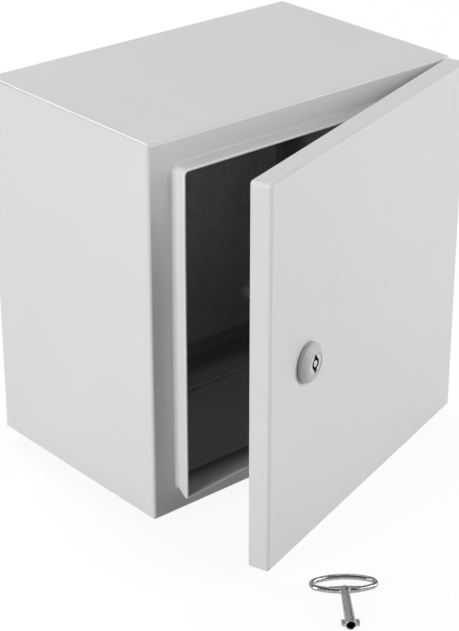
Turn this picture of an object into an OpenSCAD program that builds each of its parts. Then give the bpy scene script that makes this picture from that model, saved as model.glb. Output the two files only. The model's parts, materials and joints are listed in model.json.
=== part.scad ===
// Steel wall enclosure with a hinged door, a double-bit quarter-turn lock and its key.
// Frame: X to the right, Z up, the front faces -Y.
// The origin is the centre of the four wall-fixing holes, on the face that meets the wall.

/* [Body] */
// Width of the body, outside
body_w = 300; // [260:10:600]
// Height of the body, outside
body_h = 300; // [260:10:800]
// Depth of the body, from the wall face to the front flange
body_d = 191.5; // [160:0.5:300]
// Thickness of the body sheet
body_t = 1.2; // [1:0.1:2]
// Outside radius of the folded edges of body and door
fold_r = 2.5; // [2.2:0.1:4]
// Thickness of the back panel
back_t = 1.5; // [1:0.1:3]

/* [Front frame] */
// Distance from the body's sides to the collar's outer face
collar_side_in = 21; // [20:0.5:30]
// Distance from the body's top and bottom to the collar's outer face
collar_end_in = 19.6; // [17:0.2:30]
// How far the collar stands out in front of the flange
collar_out = 13; // [11:0.5:13.5]
// How far the collar's inner leaf reaches behind the flange
collar_back = 11; // [6:0.5:14]
// Corner radius of the collar's outer face
collar_corner_r = 5; // [4:0.5:12]
// Radius of the bend between flange and collar
root_r = 1.5; // [1:0.1:2]

/* [Wall fixing] */
// Distance from the body's edges to the centres of the wall-fixing holes
wall_edge = 25; // [20:1:40]
// Radius of the wall-fixing holes
wall_hole_r = 4.25; // [3:0.25:5]

/* [Mounting plate] */
// Distance from the body's outside to the plate's edges
plate_edge = 25; // [25:1:40]
// Thickness of the plate
plate_t = 2; // [1.5:0.5:3]
// Length cut off each side at the plate's corners
plate_clip = 25; // [20:1:32]
// Distance from the back panel to the plate
plate_standoff = 16; // [10:1:30]
// Distance from the body's edges to the plate's studs
stud_edge = 50; // [50:1:70]
// Radius of the plate's studs
stud_r = 4; // [3:0.5:5]
// Radius of the shoulder that the plate sits on
stud_shoulder_r = 7; // [6:0.5:9]

/* [Gland plate] */
// Width of the cable cut-out in the bottom
cutout_w = 210; // [100:5:220]
// Depth of the cable cut-out in the bottom
cutout_d = 95; // [60:5:105]
// Distance from the wall face to the middle of the cut-out
cutout_mid = 95; // [85:1:110]
// Corner radius of the cut-out
cutout_r = 6; // [4:1:10]
// Overlap of the gland plate around the cut-out
gland_lap = 16; // [14:1:20]
// Thickness of the gland plate
gland_t = 1.5; // [1:0.1:3]
// Thickness of the gasket between gland plate and body
gland_gasket_t = 2.5; // [1.5:0.5:4]

/* [Door] */
// Distance that the door's outline lies inside the body's
door_in = 0.5; // [0.3:0.1:1.5]
// Depth of the door, from its front face to the back edge of its skirt
door_d = 16.5; // [16:0.5:22]
// Gap between the door's skirt and the front flange
door_gap = 2; // [1.5:0.1:4]
// Thickness of the door sheet
door_t = 1.2; // [1:0.1:1.6]
// Angle at which the door stands open
door_open = 18; // [0:1:130]
// Width of the foamed seal
seal_w = 12; // [8:0.5:12]
// Gap between the shut door's seal and the collar
seal_gap = 0.3; // [0.2:0.1:1]
// Radius of the seal's rounded edges
seal_edge_r = 1.5; // [0.5:0.1:1.8]

/* [Hinges] */
// Distance from the body's side to the hinge axis
hinge_in = 5; // [5:0.1:6]
// Distance from the front flange to the hinge axis
hinge_out = 12.3; // [12:0.1:14]
// Distance from the body's top and bottom to the middle of each hinge
hinge_end_in = 55; // [50:1:80]
// Height of a hinge block
block_h = 24; // [18:1:40]
// Radius of the hinge pin
pin_r = 2; // [1.5:0.1:2.2]
// Radius of the block's eye
eye_r = 4.2; // [3.5:0.1:4.3]
// Radial running clearance of turning parts
run_gap = 0.05; // [0.02:0.01:0.1]
// Thickness of the bracket's ear
ear_t = 3; // [2:0.5:5]
// Height of the bracket's foot
foot_h = 24; // [14:1:40]
// Thickness of the bracket's foot
foot_t = 1.5; // [1:0.1:2]
// Thickness of the thrust washer
thrust_t = 0.6; // [0.4:0.1:1.5]

/* [Lock] */
// Distance from the body's side to the lock's axis
lock_in = 52.7; // [50:0.1:70]
// Distance of the lock's axis below the door's middle
lock_drop = 1.7; // [-60:0.1:60]
// Radius of the lock's front disc
disc_r = 15; // [14:0.5:20]
// Height of the disc's straight rim
rim_h = 3.2; // [2:0.1:5]
// Height of the dome above the rim
dome_h = 3.4; // [2:0.1:5]
// Thickness of the lock's gasket
lock_gasket_t = 0.5; // [0.3:0.1:1.5]
// Radius of the lock's threaded barrel
barrel_r = 11; // [10.5:0.1:12]
// Distance across the barrel's two flats
barrel_flats = 20; // [18:0.5:21]
// Length of the barrel behind the door's front face
barrel_len = 20; // [16:1:24]
// Radius of the turning core
core_r = 8; // [7.6:0.1:9]
// Radius of the core's neck
neck_r = 6.2; // [5:0.1:6.5]
// Radius of the keyhole's round part
keyhole_r = 4.7; // [4.4:0.1:5]
// Length of the keyhole's slot, end to end
slot_len = 13.6; // [12.6:0.1:14]
// Width of the keyhole's slot
slot_w = 3.4; // [3:0.1:4]
// Radius of the pin that guides the key
guide_r = 2.5; // [2:0.1:2.6]
// Depth of the keyhole
keyhole_deep = 13; // [10:0.5:14]
// Length of the cam, from the lock's axis to its tip
cam_len = 38; // [36:0.5:44]
// Width of the cam
cam_w = 16; // [13:0.5:20]
// Thickness of the cam
cam_t = 3; // [2:0.5:4]
// Gap between the cam and the collar's inner leaf
cam_gap = 0.7; // [0.3:0.1:2]
// Size of the core's square end
tang = 7; // [6:0.5:8]

/* [Key] */
// Width of the key's bow
bow_w = 50; // [40:1:60]
// Depth of the key's bow
bow_d = 22; // [20:1:26]
// Width of the band that forms the key's bow
band_w = 4; // [3:0.1:5]
// Thickness of the key's bow
bow_t = 4.4; // [3:0.1:6]
// Width of the bow's flat web, on the side of the tip
web_w = 7; // [6:0.5:9]
// Thickness of the bow's web
web_t = 2.6; // [2:0.1:4]
// Distance from the middle of the bow to the key's tip
key_len = 52; // [45:1:70]
// Radius of the key's tube at its tip
tube_r = 4; // [3.8:0.1:4.2]
// Radius of the key's shank where it leaves the bow
shank_r = 3; // [2.5:0.1:4]
// Radius of the bore in the key's tip
key_bore_r = 3; // [2.9:0.1:3.1]
// Depth of the bore in the key's tip
key_bore_deep = 14; // [12:1:20]
// Width over both bits of the key
bits_w = 13; // [12:0.1:13.4]
// Thickness of the key's bits
bits_t = 2.8; // [2:0.1:3]
// Length of the key's bits
bits_len = 6; // [4:0.5:9]
// Place of the bow's middle to the right of the body's middle
key_x = -95; // [-140:1:0]
// Place of the bow's middle in front of the wall face
key_y = 339; // [320:1:420]
// Direction in which the key's tip points, from the right
key_yaw = 232; // [200:1:260]

/* [Hidden] */
$fn = 64;

// Standard hardware
m5_r = 2.5;
m5_hole_r = 2.75;
m5_head_r = 4.25;
m5_head_h = 3;
m5_af = 8;
m5_hex_h = 3.5;
m5_washer_r = 6.5;
m5_washer_t = 1.2;
m6_r = 3;
m6_hole_r = 3.3;
m6_washer_r = 6;
m6_washer_t = 1.6;
m6_af = 10;
m6_nut_h = 5;
m6_head_h = 4;
m8_washer_r = 8;
m8_washer_t = 1.6;
m8_af = 13;
m8_nut_h = 6.5;
thread_gap = 0.05;
washer_gap = 0.2;
bolt_gap = 0.5;
thread_out = 1;

// Colours
paint = [0.84, 0.84, 0.83];
zinc = [0.72, 0.73, 0.74];
chrome = [0.86, 0.86, 0.87];
rubber = [0.12, 0.12, 0.12];
foam = [0.5, 0.5, 0.5];

// Body and front frame
collar_w = body_w - 2 * collar_side_in;
collar_h = body_h - 2 * collar_end_in;
back_corner_r = 4;

// Wall fixing, mounting plate and studs
wall_x = body_w / 2 - wall_edge;
wall_z = body_h / 2 - wall_edge;
stud_x = body_w / 2 - stud_edge;
stud_z = body_h / 2 - stud_edge;
plate_w = body_w - 2 * plate_edge;
plate_h = body_h - 2 * plate_edge;
plate_back = back_t + plate_standoff;
stud_end = plate_back + plate_t + m8_washer_t + m8_nut_h + 4 * thread_out;

// Gland plate, its screws and the earth studs
gland_w = cutout_w + 2 * gland_lap;
gland_d = cutout_d + 2 * gland_lap;
gland_x = cutout_w / 2 + gland_lap / 2;
gland_y = cutout_d / 2 + gland_lap / 2;
gland_top = gland_gasket_t;
gland_bottom = gland_top + gland_t;
screw_seat = gland_bottom + m6_washer_t;
screw_len = screw_seat + body_t + m6_nut_h + thread_out;
earth_len = 15;
earth_foot_r = 4.5;
earth_foot_t = 1;
earth_up = 40;
earth_z = earth_up - body_h / 2;
body_earth_y = 0.6 * body_d;
door_earth_in = 45;

// Door
door_w = body_w - 2 * door_in;
door_h = body_h - 2 * door_in;
skirt_y = body_d + door_gap;
front_y = skirt_y + door_d;
panel_y = front_y - door_t;
seal_t = panel_y - body_d - collar_out - seal_gap;
seal_corner_r = collar_corner_r + seal_w / 2;

// Hinges
hinge_x = body_w / 2 - hinge_in;
hinge_y = body_d + hinge_out;
hinge_z = body_h / 2 - hinge_end_in;
skirt_in_x = door_w / 2 - door_t;
block_left = body_w / 2 - collar_side_in + root_r + 1;
block_arm = 0.86 * eye_r;
block_nose = 0.5;
sweep_gap = 0.5;
sweep_r = sqrt(pow(door_w / 2 - hinge_x, 2) + pow(front_y - hinge_y, 2)) + sweep_gap;
notch_gap = 1;
thrust_gap = 0.1;
ear_bottom = block_h / 2 + thrust_gap + thrust_t;
ear_left = hinge_x - 5;
ear_right = skirt_in_x - 0.3;
ear_back = 4;
foot_left = body_w / 2 - collar_side_in - body_t + seal_w / 2 + 0.7;
foot_right = skirt_in_x - (fold_r - door_t) - 0.1;
pin_head_r = 2.9;
pin_head_h = 1.5;
clip_t = 0.8;
pin_tail = 2.5;
block_screw_x = block_left + 4;
block_screw_z = 7;
block_screw_deep = 7;

// Lock
lock_x = -(body_w / 2 - lock_in);
lock_z = -lock_drop;
disc_y = front_y + lock_gasket_t;
nose_y = disc_y + rim_h + dome_h;
barrel_y = front_y - barrel_len;
core_floor = 3;
core_step_y = nose_y - keyhole_deep - core_floor;
core_in = 0.3;
core_seat_y = core_step_y + 0.1;
cam_hub_y = barrel_y - 0.5;
cam_tip_y = body_d - collar_back - cam_gap;
cam_crank_start = 11;
cam_crank_end = 21;
cam_crank_in = 1.5;
cam_tip_r = 4;
tang_len = cam_t + 0.3;
cam_screw_len = 10;
cam_screw_deep = 11;
lock_nut_h = 5;
lock_nut_af = 26;
rim_edge = 0.4;
barrel_gap = 0.25;
lock_gasket_in = 0.6;
lock_gasket_gap = 0.1;

// Key
bow_end_r = 7;
bits_back = 0.6;
shank_start = bow_d / 2 - web_w / 2;
floor_z = -body_h / 2 - screw_seat - m6_head_h;

// ---------- helpers ----------

// Turns a shape drawn face-on (x right, y up, z forward) to stand in the part's frame
module stand() rotate([90, 0, 0]) children();

// Turns a shape drawn from below (x right, y forward, z down from the body's bottom)
module beneath() translate([0, 0, -body_h / 2]) rotate([180, 0, 0]) children();

// Swings a shape of the shut door to the angle at which the door stands
module swing() {
    translate([hinge_x, -hinge_y, 0]) rotate([0, 0, door_open])
        translate([-hinge_x, hinge_y, 0]) children();
}

// Rectangle with rounded corners, centred
module rounded(w, h, r) {
    square([w - 2 * r, h], center = true);
    square([w, h - 2 * r], center = true);
    for (x = [-1, 1], y = [-1, 1])
        translate([x * (w / 2 - r), y * (h / 2 - r)]) circle(r);
}

// Carries a profile (x outward from the path, y forward) round a rounded rectangle
module sweep_round(w, h, r) {
    for (k = [0 : 3]) {
        run_x = (k % 2 == 0 ? w : h) / 2;
        run_y = (k % 2 == 0 ? h : w) / 2;
        rotate([0, 0, 90 * k]) {
            translate([run_x - r, run_y - r]) rotate_extrude(angle = 90)
                translate([r, 0]) children();
            translate([run_x, run_y - r]) rotate([90, 0, 0])
                linear_extrude(2 * (run_y - r)) children();
        }
    }
}

// Folded edge of a sheet: a quarter ring that ends the outer wall at the front
module fold_profile(t) {
    intersection() {
        translate([-fold_r, 0]) square(fold_r);
        translate([-fold_r, 0]) difference() {
            circle(fold_r);
            circle(fold_r - t);
        }
    }
}

// Walls and folded front edges of a sheet box, its front left open inside the fold
module folded_walls(w, h, d, t) {
    linear_extrude(d - fold_r) difference() {
        rounded(w, h, fold_r);
        rounded(w - 2 * t, h - 2 * t, fold_r - t);
    }
    translate([0, 0, d - fold_r]) sweep_round(w, h, fold_r) fold_profile(t);
}

// Hexagonal prism with a round bore, flats given by the distance across them
module hex_nut(af, h, bore_r) {
    difference() {
        cylinder(r = af / sqrt(3), h = h, $fn = 6);
        translate([0, 0, -1]) cylinder(r = bore_r, h = h + 2);
    }
}

module washer(r, t, bore_r) {
    difference() {
        cylinder(r = r, h = t);
        translate([0, 0, -1]) cylinder(r = bore_r, h = t + 2);
    }
}

module at_wall_holes()
    for (x = [-1, 1], y = [-1, 1]) translate([x * wall_x, y * wall_z]) children();

module at_studs()
    for (x = [-1, 1], y = [-1, 1]) translate([x * stud_x, y * stud_z]) children();

// Six gland screws: two rows of three, in the frame of beneath()
module at_gland_screws()
    for (x = [-1 : 1], y = [-1, 1]) translate([x * gland_x, cutout_mid + y * gland_y]) children();

module at_hinges() for (z = [-1, 1]) translate([0, 0, z * hinge_z]) children();

// Turns a shape whose axis is Z so that it points from the body's right wall inwards
module at_body_earth()
    translate([body_w / 2 - body_t, -body_earth_y, earth_z]) rotate([0, -90, 0]) children();

// Turns a shape whose axis is Z so that it points from the door's panel inwards
module at_door_earth()
    swing() translate([body_w / 2 - door_earth_in, -panel_y, earth_z]) rotate([-90, 0, 0]) children();

// Lock frame: z runs out of the door along the lock's axis, y is up
module at_lock() swing() translate([lock_x, 0, lock_z]) stand() children();

// ---------- body ----------

// Section through the front frame: bend, outer leaf, hem and inner leaf
module collar_profile() {
    intersection() {
        translate([-body_t, -body_t]) square(root_r + body_t);
        translate([root_r, root_r]) difference() {
            circle(root_r + body_t);
            circle(root_r);
        }
    }
    translate([-body_t, root_r]) square([body_t, collar_out - body_t - root_r]);
    translate([-2 * body_t, -collar_back]) square([body_t, collar_out - body_t + collar_back]);
    intersection() {
        translate([-2 * body_t, collar_out - body_t]) square([2 * body_t, body_t]);
        translate([-body_t, collar_out - body_t]) circle(body_t);
    }
}

module front_frame() {
    translate([0, 0, body_d - body_t]) linear_extrude(body_t) difference() {
        square([body_w - 2 * fold_r, body_h - 2 * fold_r], center = true);
        rounded(collar_w + 2 * root_r, collar_h + 2 * root_r, collar_corner_r + root_r);
    }
    translate([0, 0, body_d]) sweep_round(collar_w, collar_h, collar_corner_r) collar_profile();
}

module body_wrap() color(paint) difference() {
    stand() {
        folded_walls(body_w, body_h, body_d, body_t);
        front_frame();
    }
    beneath() translate([0, cutout_mid, -2 * body_t]) linear_extrude(3 * body_t)
        rounded(cutout_w, cutout_d, cutout_r);
    beneath() at_gland_screws() translate([0, 0, -2 * body_t]) cylinder(r = m6_hole_r, h = 3 * body_t);
    for (z = [-1, 1], s = [-1, 1]) translate([block_screw_x, 0, z * hinge_z + s * block_screw_z])
        stand() translate([0, 0, body_d - 2 * body_t]) cylinder(r = m5_hole_r, h = 3 * body_t);
}

module back_panel() color(paint) stand() difference() {
    linear_extrude(back_t) rounded(body_w - 2 * body_t, body_h - 2 * body_t, back_corner_r);
    translate([0, 0, -1]) at_wall_holes() cylinder(r = wall_hole_r, h = back_t + 2);
}

// ---------- mounting plate ----------

module mounting_plate() color(zinc) stand() translate([0, 0, plate_back]) difference() {
    linear_extrude(plate_t) intersection() {
        square([plate_w, plate_h], center = true);
        rotate(45) square((plate_w + plate_h - 2 * plate_clip) / sqrt(2), center = true);
    }
    translate([0, 0, -1]) at_studs() cylinder(r = stud_r + bolt_gap, h = plate_t + 2);
}

module plate_studs() color(zinc) stand() at_studs() {
    translate([0, 0, back_t]) cylinder(r = stud_shoulder_r, h = plate_standoff);
    translate([0, 0, plate_back]) cylinder(r = stud_r, h = stud_end - plate_back);
}

module plate_washers() color(zinc) stand() at_studs()
    translate([0, 0, plate_back + plate_t]) washer(m8_washer_r, m8_washer_t, stud_r + washer_gap);

module plate_nuts() color(zinc) stand() at_studs()
    translate([0, 0, plate_back + plate_t + m8_washer_t]) hex_nut(m8_af, m8_nut_h, stud_r + thread_gap);

// ---------- earth studs ----------

module earth_stud() color(zinc) {
    cylinder(r = earth_foot_r, h = earth_foot_t);
    translate([0, 0, earth_foot_t]) cylinder(r = m6_r, h = earth_len - earth_foot_t);
}

module earth_washer() color(zinc) translate([0, 0, earth_foot_t])
    washer(m6_washer_r, m6_washer_t, m6_r + washer_gap);

module earth_nut() color(zinc) translate([0, 0, earth_foot_t + m6_washer_t])
    hex_nut(m6_af, m6_nut_h, m6_r + thread_gap);

module body_earth_stud() at_body_earth() earth_stud();

module body_earth_washer() at_body_earth() earth_washer();

module body_earth_nut() at_body_earth() earth_nut();

module door_earth_stud() at_door_earth() earth_stud();

module door_earth_washer() at_door_earth() earth_washer();

module door_earth_nut() at_door_earth() earth_nut();

// ---------- gland plate ----------

module gland_gasket() color(foam) beneath() difference() {
    translate([0, cutout_mid]) linear_extrude(gland_gasket_t) difference() {
        rounded(gland_w, gland_d, cutout_r);
        rounded(cutout_w, cutout_d, cutout_r);
    }
    at_gland_screws() translate([0, 0, -1]) cylinder(r = m6_hole_r, h = gland_gasket_t + 2);
}

module gland_plate() color(paint) beneath() difference() {
    translate([0, cutout_mid, gland_top]) linear_extrude(gland_t) rounded(gland_w, gland_d, cutout_r);
    at_gland_screws() translate([0, 0, gland_top - 1]) cylinder(r = m6_hole_r, h = gland_t + 2);
}

module gland_washers() color(zinc) beneath() at_gland_screws()
    translate([0, 0, gland_bottom]) washer(m6_washer_r, m6_washer_t, m6_r + washer_gap);

module gland_screws() color(zinc) beneath() at_gland_screws() {
    translate([0, 0, screw_seat]) cylinder(r = m6_af / sqrt(3), h = m6_head_h, $fn = 6);
    translate([0, 0, screw_seat - screw_len]) cylinder(r = m6_r, h = screw_len);
}

module gland_weld_nuts() color(zinc) beneath() at_gland_screws()
    translate([0, 0, -body_t - m6_nut_h]) hex_nut(m6_af, m6_nut_h, m6_r + thread_gap);

// ---------- hinges ----------

// Plan of a hinge block, x and y measured from the hinge axis, y towards the front.
// Its left part is lower, so that the shut door's seal clears it.
module block_plan() {
    left = block_left - hinge_x;
    seal_side = foot_left - hinge_x;
    difference() {
        union() {
            translate([left, -hinge_out]) square([block_nose - left, hinge_out]);
            translate([seal_side, -hinge_out]) square([block_nose - seal_side, hinge_out + block_arm]);
        }
        circle(sweep_r);
    }
    translate([seal_side, -block_arm]) square([-seal_side, 2 * block_arm]);
    circle(eye_r);
}

module hinge_block(z) color(zinc) translate([0, 0, z]) difference() {
    translate([hinge_x, -hinge_y, -block_h / 2]) linear_extrude(block_h) mirror([0, 1])
        difference() {
            block_plan();
            circle(pin_r + run_gap);
        }
    for (s = [-1, 1]) translate([block_screw_x, -body_d, s * block_screw_z]) stand()
        translate([0, 0, -1]) cylinder(r = m5_r + thread_gap, h = block_screw_deep + 1);
}

module hinge_block_upper() hinge_block(hinge_z);

module hinge_block_lower() hinge_block(-hinge_z);

module hinge_screws() color(zinc) at_hinges() for (s = [-1, 1])
    translate([block_screw_x, -(body_d - body_t), s * block_screw_z]) stand() {
        translate([0, 0, -m5_head_h]) cylinder(r = m5_head_r, h = m5_head_h);
        cylinder(r = m5_r, h = body_t + block_screw_deep - bolt_gap);
    }

// Angle bracket on the door: a foot on the panel and an ear over the block
module hinge_bracket(z) color(zinc) swing() translate([0, 0, z]) difference() {
    union() {
        translate([foot_left, -panel_y, ear_bottom]) cube([foot_right - foot_left, foot_t, foot_h]);
        translate([0, 0, ear_bottom]) linear_extrude(ear_t) {
            translate([foot_left, -panel_y + foot_t])
                square([ear_right - foot_left, panel_y - foot_t - hinge_y]);
            translate([ear_left, -hinge_y]) square([ear_right - ear_left, ear_back]);
        }
    }
    translate([hinge_x, -hinge_y, ear_bottom - 1]) cylinder(r = pin_r + run_gap / 2, h = ear_t + 2);
}

module hinge_bracket_upper() hinge_bracket(hinge_z);

module hinge_bracket_lower() hinge_bracket(-hinge_z);

module hinge_pin(z) color(zinc) translate([hinge_x, -hinge_y, z]) {
    tail_z = -block_h / 2 - pin_tail;
    head_z = ear_bottom + ear_t;
    translate([0, 0, tail_z]) cylinder(r = pin_r, h = head_z - tail_z);
    translate([0, 0, head_z]) cylinder(r = pin_head_r, h = pin_head_h);
}

module hinge_pin_upper() hinge_pin(hinge_z);

module hinge_pin_lower() hinge_pin(-hinge_z);

module hinge_washers() color(zinc) at_hinges()
    translate([hinge_x, -hinge_y, block_h / 2 + thrust_gap])
        washer(pin_head_r, thrust_t, pin_r + run_gap);

// Clip rings that hold the pins under the blocks
module hinge_clips() color(zinc) at_hinges()
    translate([hinge_x, -hinge_y, -block_h / 2 - thrust_gap - clip_t])
        washer(pin_head_r, clip_t, pin_r + run_gap);

// ---------- door ----------

module door_panel() color(paint) swing() difference() {
    stand() translate([0, 0, skirt_y]) {
        folded_walls(door_w, door_h, door_d, door_t);
        translate([0, 0, door_d - door_t]) linear_extrude(door_t)
            square([door_w - 2 * fold_r, door_h - 2 * fold_r], center = true);
    }
    at_hinges() translate([hinge_x, -(front_y - fold_r), -block_h / 2 - notch_gap])
        cube([hinge_in, door_d, block_h + 2 * notch_gap]);
    translate([lock_x, -front_y - 1, lock_z]) rotate([-90, 0, 0]) linear_extrude(door_t + 2)
        barrel_outline(barrel_gap);
}

module seal_profile() translate([-body_t, -seal_t / 2]) rounded(seal_w, seal_t, seal_edge_r);

module door_seal() color(foam) swing() stand() translate([0, 0, panel_y])
    sweep_round(collar_w, collar_h, seal_corner_r) seal_profile();

// ---------- lock ----------

// Threaded barrel with two flats; gap widens it for the hole in the door
module barrel_outline(gap) {
    intersection() {
        circle(barrel_r + gap);
        square([2 * barrel_r + 2, barrel_flats + 2 * gap], center = true);
    }
}

// Half section of the lock's disc: straight rim and domed face round the core
module disc_section() {
    dome_foot = disc_r - rim_edge;
    dome_r = (pow(dome_foot - core_r, 2) + pow(dome_h, 2)) / (2 * dome_h);
    square([disc_r, rim_h]);
    intersection() {
        square([dome_foot, rim_h + dome_h - 0.01]);
        translate([core_r, rim_h + dome_h - dome_r]) circle(dome_r);
    }
    square([core_r, rim_h + dome_h - 0.01]);
}

module lock_housing() color(paint) at_lock() difference() {
    union() {
        translate([0, 0, disc_y]) rotate_extrude() disc_section();
        translate([0, 0, barrel_y]) linear_extrude(disc_y - barrel_y) barrel_outline(0);
    }
    translate([0, 0, core_step_y]) cylinder(r = core_r + run_gap, h = nose_y - core_step_y + 1);
    translate([0, 0, barrel_y - 1]) cylinder(r = neck_r + run_gap, h = core_step_y - barrel_y + 2);
}

module lock_gasket() color(rubber) at_lock() translate([0, 0, front_y]) linear_extrude(lock_gasket_t)
    difference() {
        circle(disc_r - lock_gasket_in);
        barrel_outline(lock_gasket_gap);
    }

module lock_nut() color(zinc) at_lock() translate([0, 0, panel_y - lock_nut_h])
    hex_nut(lock_nut_af, lock_nut_h, barrel_r + thread_gap);

module keyhole() {
    difference() {
        union() {
            circle(keyhole_r);
            square([slot_w, slot_len], center = true);
        }
        circle(guide_r);
    }
}

module lock_core() color(chrome) at_lock() difference() {
    union() {
        translate([0, 0, core_seat_y]) cylinder(r = core_r, h = nose_y - core_in - core_seat_y);
        translate([0, 0, cam_hub_y]) cylinder(r = neck_r, h = core_seat_y - cam_hub_y);
        translate([0, 0, cam_hub_y - tang_len]) linear_extrude(tang_len) square(tang, center = true);
    }
    translate([0, 0, nose_y - keyhole_deep]) linear_extrude(keyhole_deep + 1) keyhole();
    translate([0, 0, cam_hub_y - tang_len - 1]) cylinder(r = m5_r + thread_gap, h = cam_screw_deep + 1);
}

// Side view of the cranked cam: x along the cam, y forward
module cam_side() {
    drop = cam_hub_y - cam_tip_y;
    back_start = cam_crank_start - cam_crank_in;
    back_end = cam_crank_end - cam_crank_in;
    polygon([[-cam_w / 2, 0], [cam_crank_start, 0], [cam_crank_end, -drop], [cam_len, -drop],
        [cam_len, -drop - cam_t], [back_end, -drop - cam_t], [back_start, -cam_t],
        [-cam_w / 2, -cam_t]]);
}

// The cam stands upright in the open position
module lock_cam() color(zinc) at_lock() difference() {
    intersection() {
        translate([-cam_w / 2 - 1, 0, cam_hub_y]) rotate([0, 90, 0]) rotate([0, 0, 90])
            linear_extrude(cam_w + 2) cam_side();
        translate([0, 0, cam_tip_y - 2 * cam_t]) linear_extrude(cam_hub_y - cam_tip_y + 4 * cam_t) {
            circle(cam_w / 2);
            translate([-cam_w / 2, 0]) square([cam_w, cam_len - cam_tip_r]);
            translate([0, cam_len - cam_tip_r]) square([cam_w - 2 * cam_tip_r, 2 * cam_tip_r], center = true);
            for (x = [-1, 1]) translate([x * (cam_w / 2 - cam_tip_r), cam_len - cam_tip_r]) circle(cam_tip_r);
        }
    }
    translate([0, 0, cam_hub_y - cam_t - 1]) linear_extrude(cam_t + 2)
        square(tang + washer_gap, center = true);
}

// Frame of the cam screw: z from the outer face of its washer towards the door's front
module at_cam_screw() at_lock() translate([0, 0, cam_hub_y - tang_len - m5_washer_t]) children();

module cam_washer() color(zinc) at_cam_screw() washer(m5_washer_r, m5_washer_t, m5_r + washer_gap);

module cam_screw() color(zinc) at_cam_screw() {
    translate([0, 0, -m5_hex_h]) cylinder(r = m5_af / sqrt(3), h = m5_hex_h, $fn = 6);
    cylinder(r = m5_r, h = cam_screw_len);
}

// ---------- key ----------

// Oval of four arcs: half width a, half depth b, end radius r
module oval(a, b, r) {
    side_r = (pow(a - r, 2) + b * b - r * r) / (2 * (b - r));
    touch = (a - r) * side_r / (side_r - r);
    intersection() {
        translate([0, b - side_r]) circle(side_r);
        translate([0, side_r - b]) circle(side_r);
        square([2 * touch, 2 * b], center = true);
    }
    for (x = [-1, 1]) translate([x * (a - r), 0]) circle(r);
}

// The bow's outline, drawn in by a distance
module bow_outline(inset) oval(bow_w / 2 - inset, bow_d / 2 - inset, bow_end_r - inset);

// Bow along X: an oval band with a flat web across its +Y side
module bow() {
    translate([0, 0, -bow_t / 2]) linear_extrude(bow_t) difference() {
        bow_outline(0);
        bow_outline(band_w);
    }
    translate([0, 0, -web_t / 2]) linear_extrude(web_t) intersection() {
        bow_outline(band_w / 2);
        translate([-bow_w / 2, bow_d / 2 - web_w]) square([bow_w, web_w]);
    }
}

// Key along +X, its bow's middle at the origin, its axis at z = 0
module key_shape() {
    difference() {
        union() {
            rotate(-90) bow();
            rotate([0, 90, 0]) translate([0, 0, shank_start])
                cylinder(r1 = shank_r, r2 = tube_r, h = key_len - bits_len - shank_start);
            rotate([0, 90, 0]) translate([0, 0, key_len - bits_len]) cylinder(r = tube_r, h = bits_len);
            translate([key_len - bits_len, -bits_w / 2, -bits_t / 2])
                cube([bits_len - bits_back, bits_w, bits_t]);
        }
        translate([key_len - key_bore_deep, 0, 0]) rotate([0, 90, 0])
            cylinder(r = key_bore_r, h = key_bore_deep + 1);
    }
}

module key() color(chrome) translate([key_x, -key_y, floor_z + tube_r]) rotate([0, 0, key_yaw]) key_shape();

body_wrap();
back_panel();
mounting_plate();
plate_studs();
plate_washers();
plate_nuts();
body_earth_stud();
body_earth_washer();
body_earth_nut();
gland_gasket();
gland_plate();
gland_washers();
gland_screws();
gland_weld_nuts();
hinge_block_upper();
hinge_block_lower();
hinge_screws();
door_panel();
door_seal();
hinge_bracket_upper();
hinge_bracket_lower();
hinge_pin_upper();
hinge_pin_lower();
hinge_washers();
hinge_clips();
door_earth_stud();
door_earth_washer();
door_earth_nut();
lock_housing();
lock_gasket();
lock_nut();
lock_core();
lock_cam();
cam_washer();
cam_screw();
key();
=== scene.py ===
"""Looks of the steel wall enclosure: coated sheet metal, lock, hinges, fittings and key."""
import json
import math
import random

import bmesh
import bpy
from mathutils import Matrix, Vector


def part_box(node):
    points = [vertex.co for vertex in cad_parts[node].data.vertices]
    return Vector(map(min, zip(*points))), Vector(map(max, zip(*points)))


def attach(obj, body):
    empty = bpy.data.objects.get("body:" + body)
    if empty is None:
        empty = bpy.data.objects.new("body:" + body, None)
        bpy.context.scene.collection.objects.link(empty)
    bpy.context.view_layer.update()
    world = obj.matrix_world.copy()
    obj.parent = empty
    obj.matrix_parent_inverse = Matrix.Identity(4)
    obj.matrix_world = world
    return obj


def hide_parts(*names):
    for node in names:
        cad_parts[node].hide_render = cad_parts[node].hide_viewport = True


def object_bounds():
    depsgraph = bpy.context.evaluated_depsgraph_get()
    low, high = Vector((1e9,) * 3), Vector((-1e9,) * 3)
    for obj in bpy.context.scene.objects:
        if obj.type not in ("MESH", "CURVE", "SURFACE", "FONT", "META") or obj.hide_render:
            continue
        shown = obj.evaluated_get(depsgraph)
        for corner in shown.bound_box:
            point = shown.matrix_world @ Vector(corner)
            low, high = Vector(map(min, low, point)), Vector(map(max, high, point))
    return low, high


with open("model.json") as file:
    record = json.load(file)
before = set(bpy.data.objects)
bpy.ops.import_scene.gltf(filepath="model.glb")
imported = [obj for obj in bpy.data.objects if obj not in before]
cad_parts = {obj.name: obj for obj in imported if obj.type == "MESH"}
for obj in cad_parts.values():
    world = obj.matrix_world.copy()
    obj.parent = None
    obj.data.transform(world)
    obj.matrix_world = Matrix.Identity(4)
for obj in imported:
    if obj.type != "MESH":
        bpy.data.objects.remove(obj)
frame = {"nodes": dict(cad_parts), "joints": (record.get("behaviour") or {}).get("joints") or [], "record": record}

cad_low, cad_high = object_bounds()

# ---------------------------------------------------------------- frame

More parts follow.
